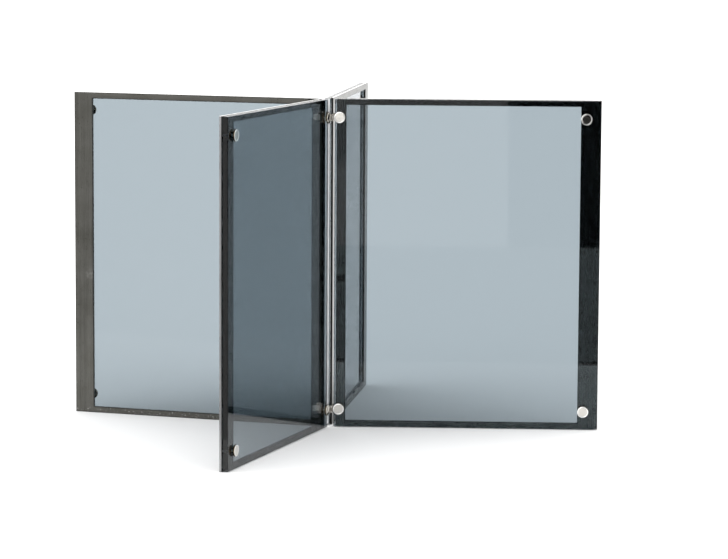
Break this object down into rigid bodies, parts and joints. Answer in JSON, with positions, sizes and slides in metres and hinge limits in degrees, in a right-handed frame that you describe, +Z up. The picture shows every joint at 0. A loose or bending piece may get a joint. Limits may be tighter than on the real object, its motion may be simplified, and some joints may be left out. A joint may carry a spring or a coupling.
{
  "type": "folding glass screen",
  "caption": "Low folding screen of smoked glass wings on thin metal frames, hinged at a common centre and standing in a cross.",
  "frame": {"origin": "middle of the bounding box of the plan, on the floor", "axes": "+Z up from the floor; +X along the wing whose pane faces -Y"},
  "size_m": [0.7519, 0.7483, 0.464],
  "materials": {
    "polished_steel": "polished flat bar, dulled and spotted with age",
    "chrome": "bright turned and plated",
    "smoked_glass": "clear polished plate, blue-grey tint",
    "spacer_rubber": "matt black"
  },
  "bodies": {
    "right_wing": {"right_frame": "polished_steel", "right_glass": "smoked_glass", "right_knob_inner_bottom": "chrome", "right_knob_inner_top": "chrome", "right_knob_outer_bottom": "chrome", "right_knob_outer_top": "chrome", "right_near_hinge_bottom_leaf_right": "chrome", "right_near_hinge_bottom_pin": "chrome", "right_near_hinge_top_leaf_right": "chrome", "right_near_hinge_top_pin": "chrome", "right_rear_hinge_bottom_leaf_right": "chrome", "right_rear_hinge_bottom_pin": "chrome", "right_rear_hinge_top_leaf_right": "chrome", "right_rear_hinge_top_pin": "chrome", "right_spacer_inner_bottom": "spacer_rubber", "right_spacer_inner_top": "spacer_rubber", "right_spacer_outer_bottom": "spacer_rubber", "right_spacer_outer_top": "spacer_rubber"},
    "near_wing": {"near_frame": "polished_steel", "near_glass": "smoked_glass", "near_knob_inner_bottom": "chrome", "near_knob_inner_top": "chrome", "near_knob_outer_bottom": "chrome", "near_knob_outer_top": "chrome", "near_left_hinge_bottom_leaf_near": "chrome", "near_left_hinge_bottom_pin": "chrome", "near_left_hinge_top_leaf_near": "chrome", "near_left_hinge_top_pin": "chrome", "near_spacer_inner_bottom": "spacer_rubber", "near_spacer_inner_top": "spacer_rubber", "near_spacer_outer_bottom": "spacer_rubber", "near_spacer_outer_top": "spacer_rubber", "right_near_hinge_bottom_leaf_near": "chrome", "right_near_hinge_top_leaf_near": "chrome"},
    "rear_wing": {"rear_frame": "polished_steel", "rear_glass": "smoked_glass", "rear_knob_inner_bottom": "chrome", "rear_knob_inner_top": "chrome", "rear_knob_outer_bottom": "chrome", "rear_knob_outer_top": "chrome", "rear_spacer_inner_bottom": "spacer_rubber", "rear_spacer_inner_top": "spacer_rubber", "rear_spacer_outer_bottom": "spacer_rubber", "rear_spacer_outer_top": "spacer_rubber", "right_rear_hinge_bottom_leaf_rear": "chrome", "right_rear_hinge_top_leaf_rear": "chrome"},
    "left_wing": {"left_frame": "polished_steel", "left_glass": "smoked_glass", "left_knob_inner_bottom": "chrome", "left_knob_inner_top": "chrome", "left_knob_outer_bottom": "chrome", "left_knob_outer_top": "chrome", "left_spacer_inner_bottom": "spacer_rubber", "left_spacer_inner_top": "spacer_rubber", "left_spacer_outer_bottom": "spacer_rubber", "left_spacer_outer_top": "spacer_rubber", "near_left_hinge_bottom_leaf_left": "chrome", "near_left_hinge_top_leaf_left": "chrome"}
  },
  "joints": [
    {"name": "right_near_hinge", "type": "hinge", "parent": "right_wing", "child": "near_wing", "pos_m": [0.00073, -0.01715, 0.232], "axis": [0, 0, 1], "range_deg": [-3, 107]},
    {"name": "right_rear_hinge", "type": "hinge", "parent": "right_wing", "child": "rear_wing", "pos_m": [0.00243, 0.00135, 0.232], "axis": [0, 0, 1], "range_deg": [-85, 5]},
    {"name": "near_left_hinge", "type": "hinge", "parent": "near_wing", "child": "left_wing", "pos_m": [-0.01746, -0.01336, 0.232], "axis": [0, 0, 1], "range_deg": [-1, 89]}
  ]
}
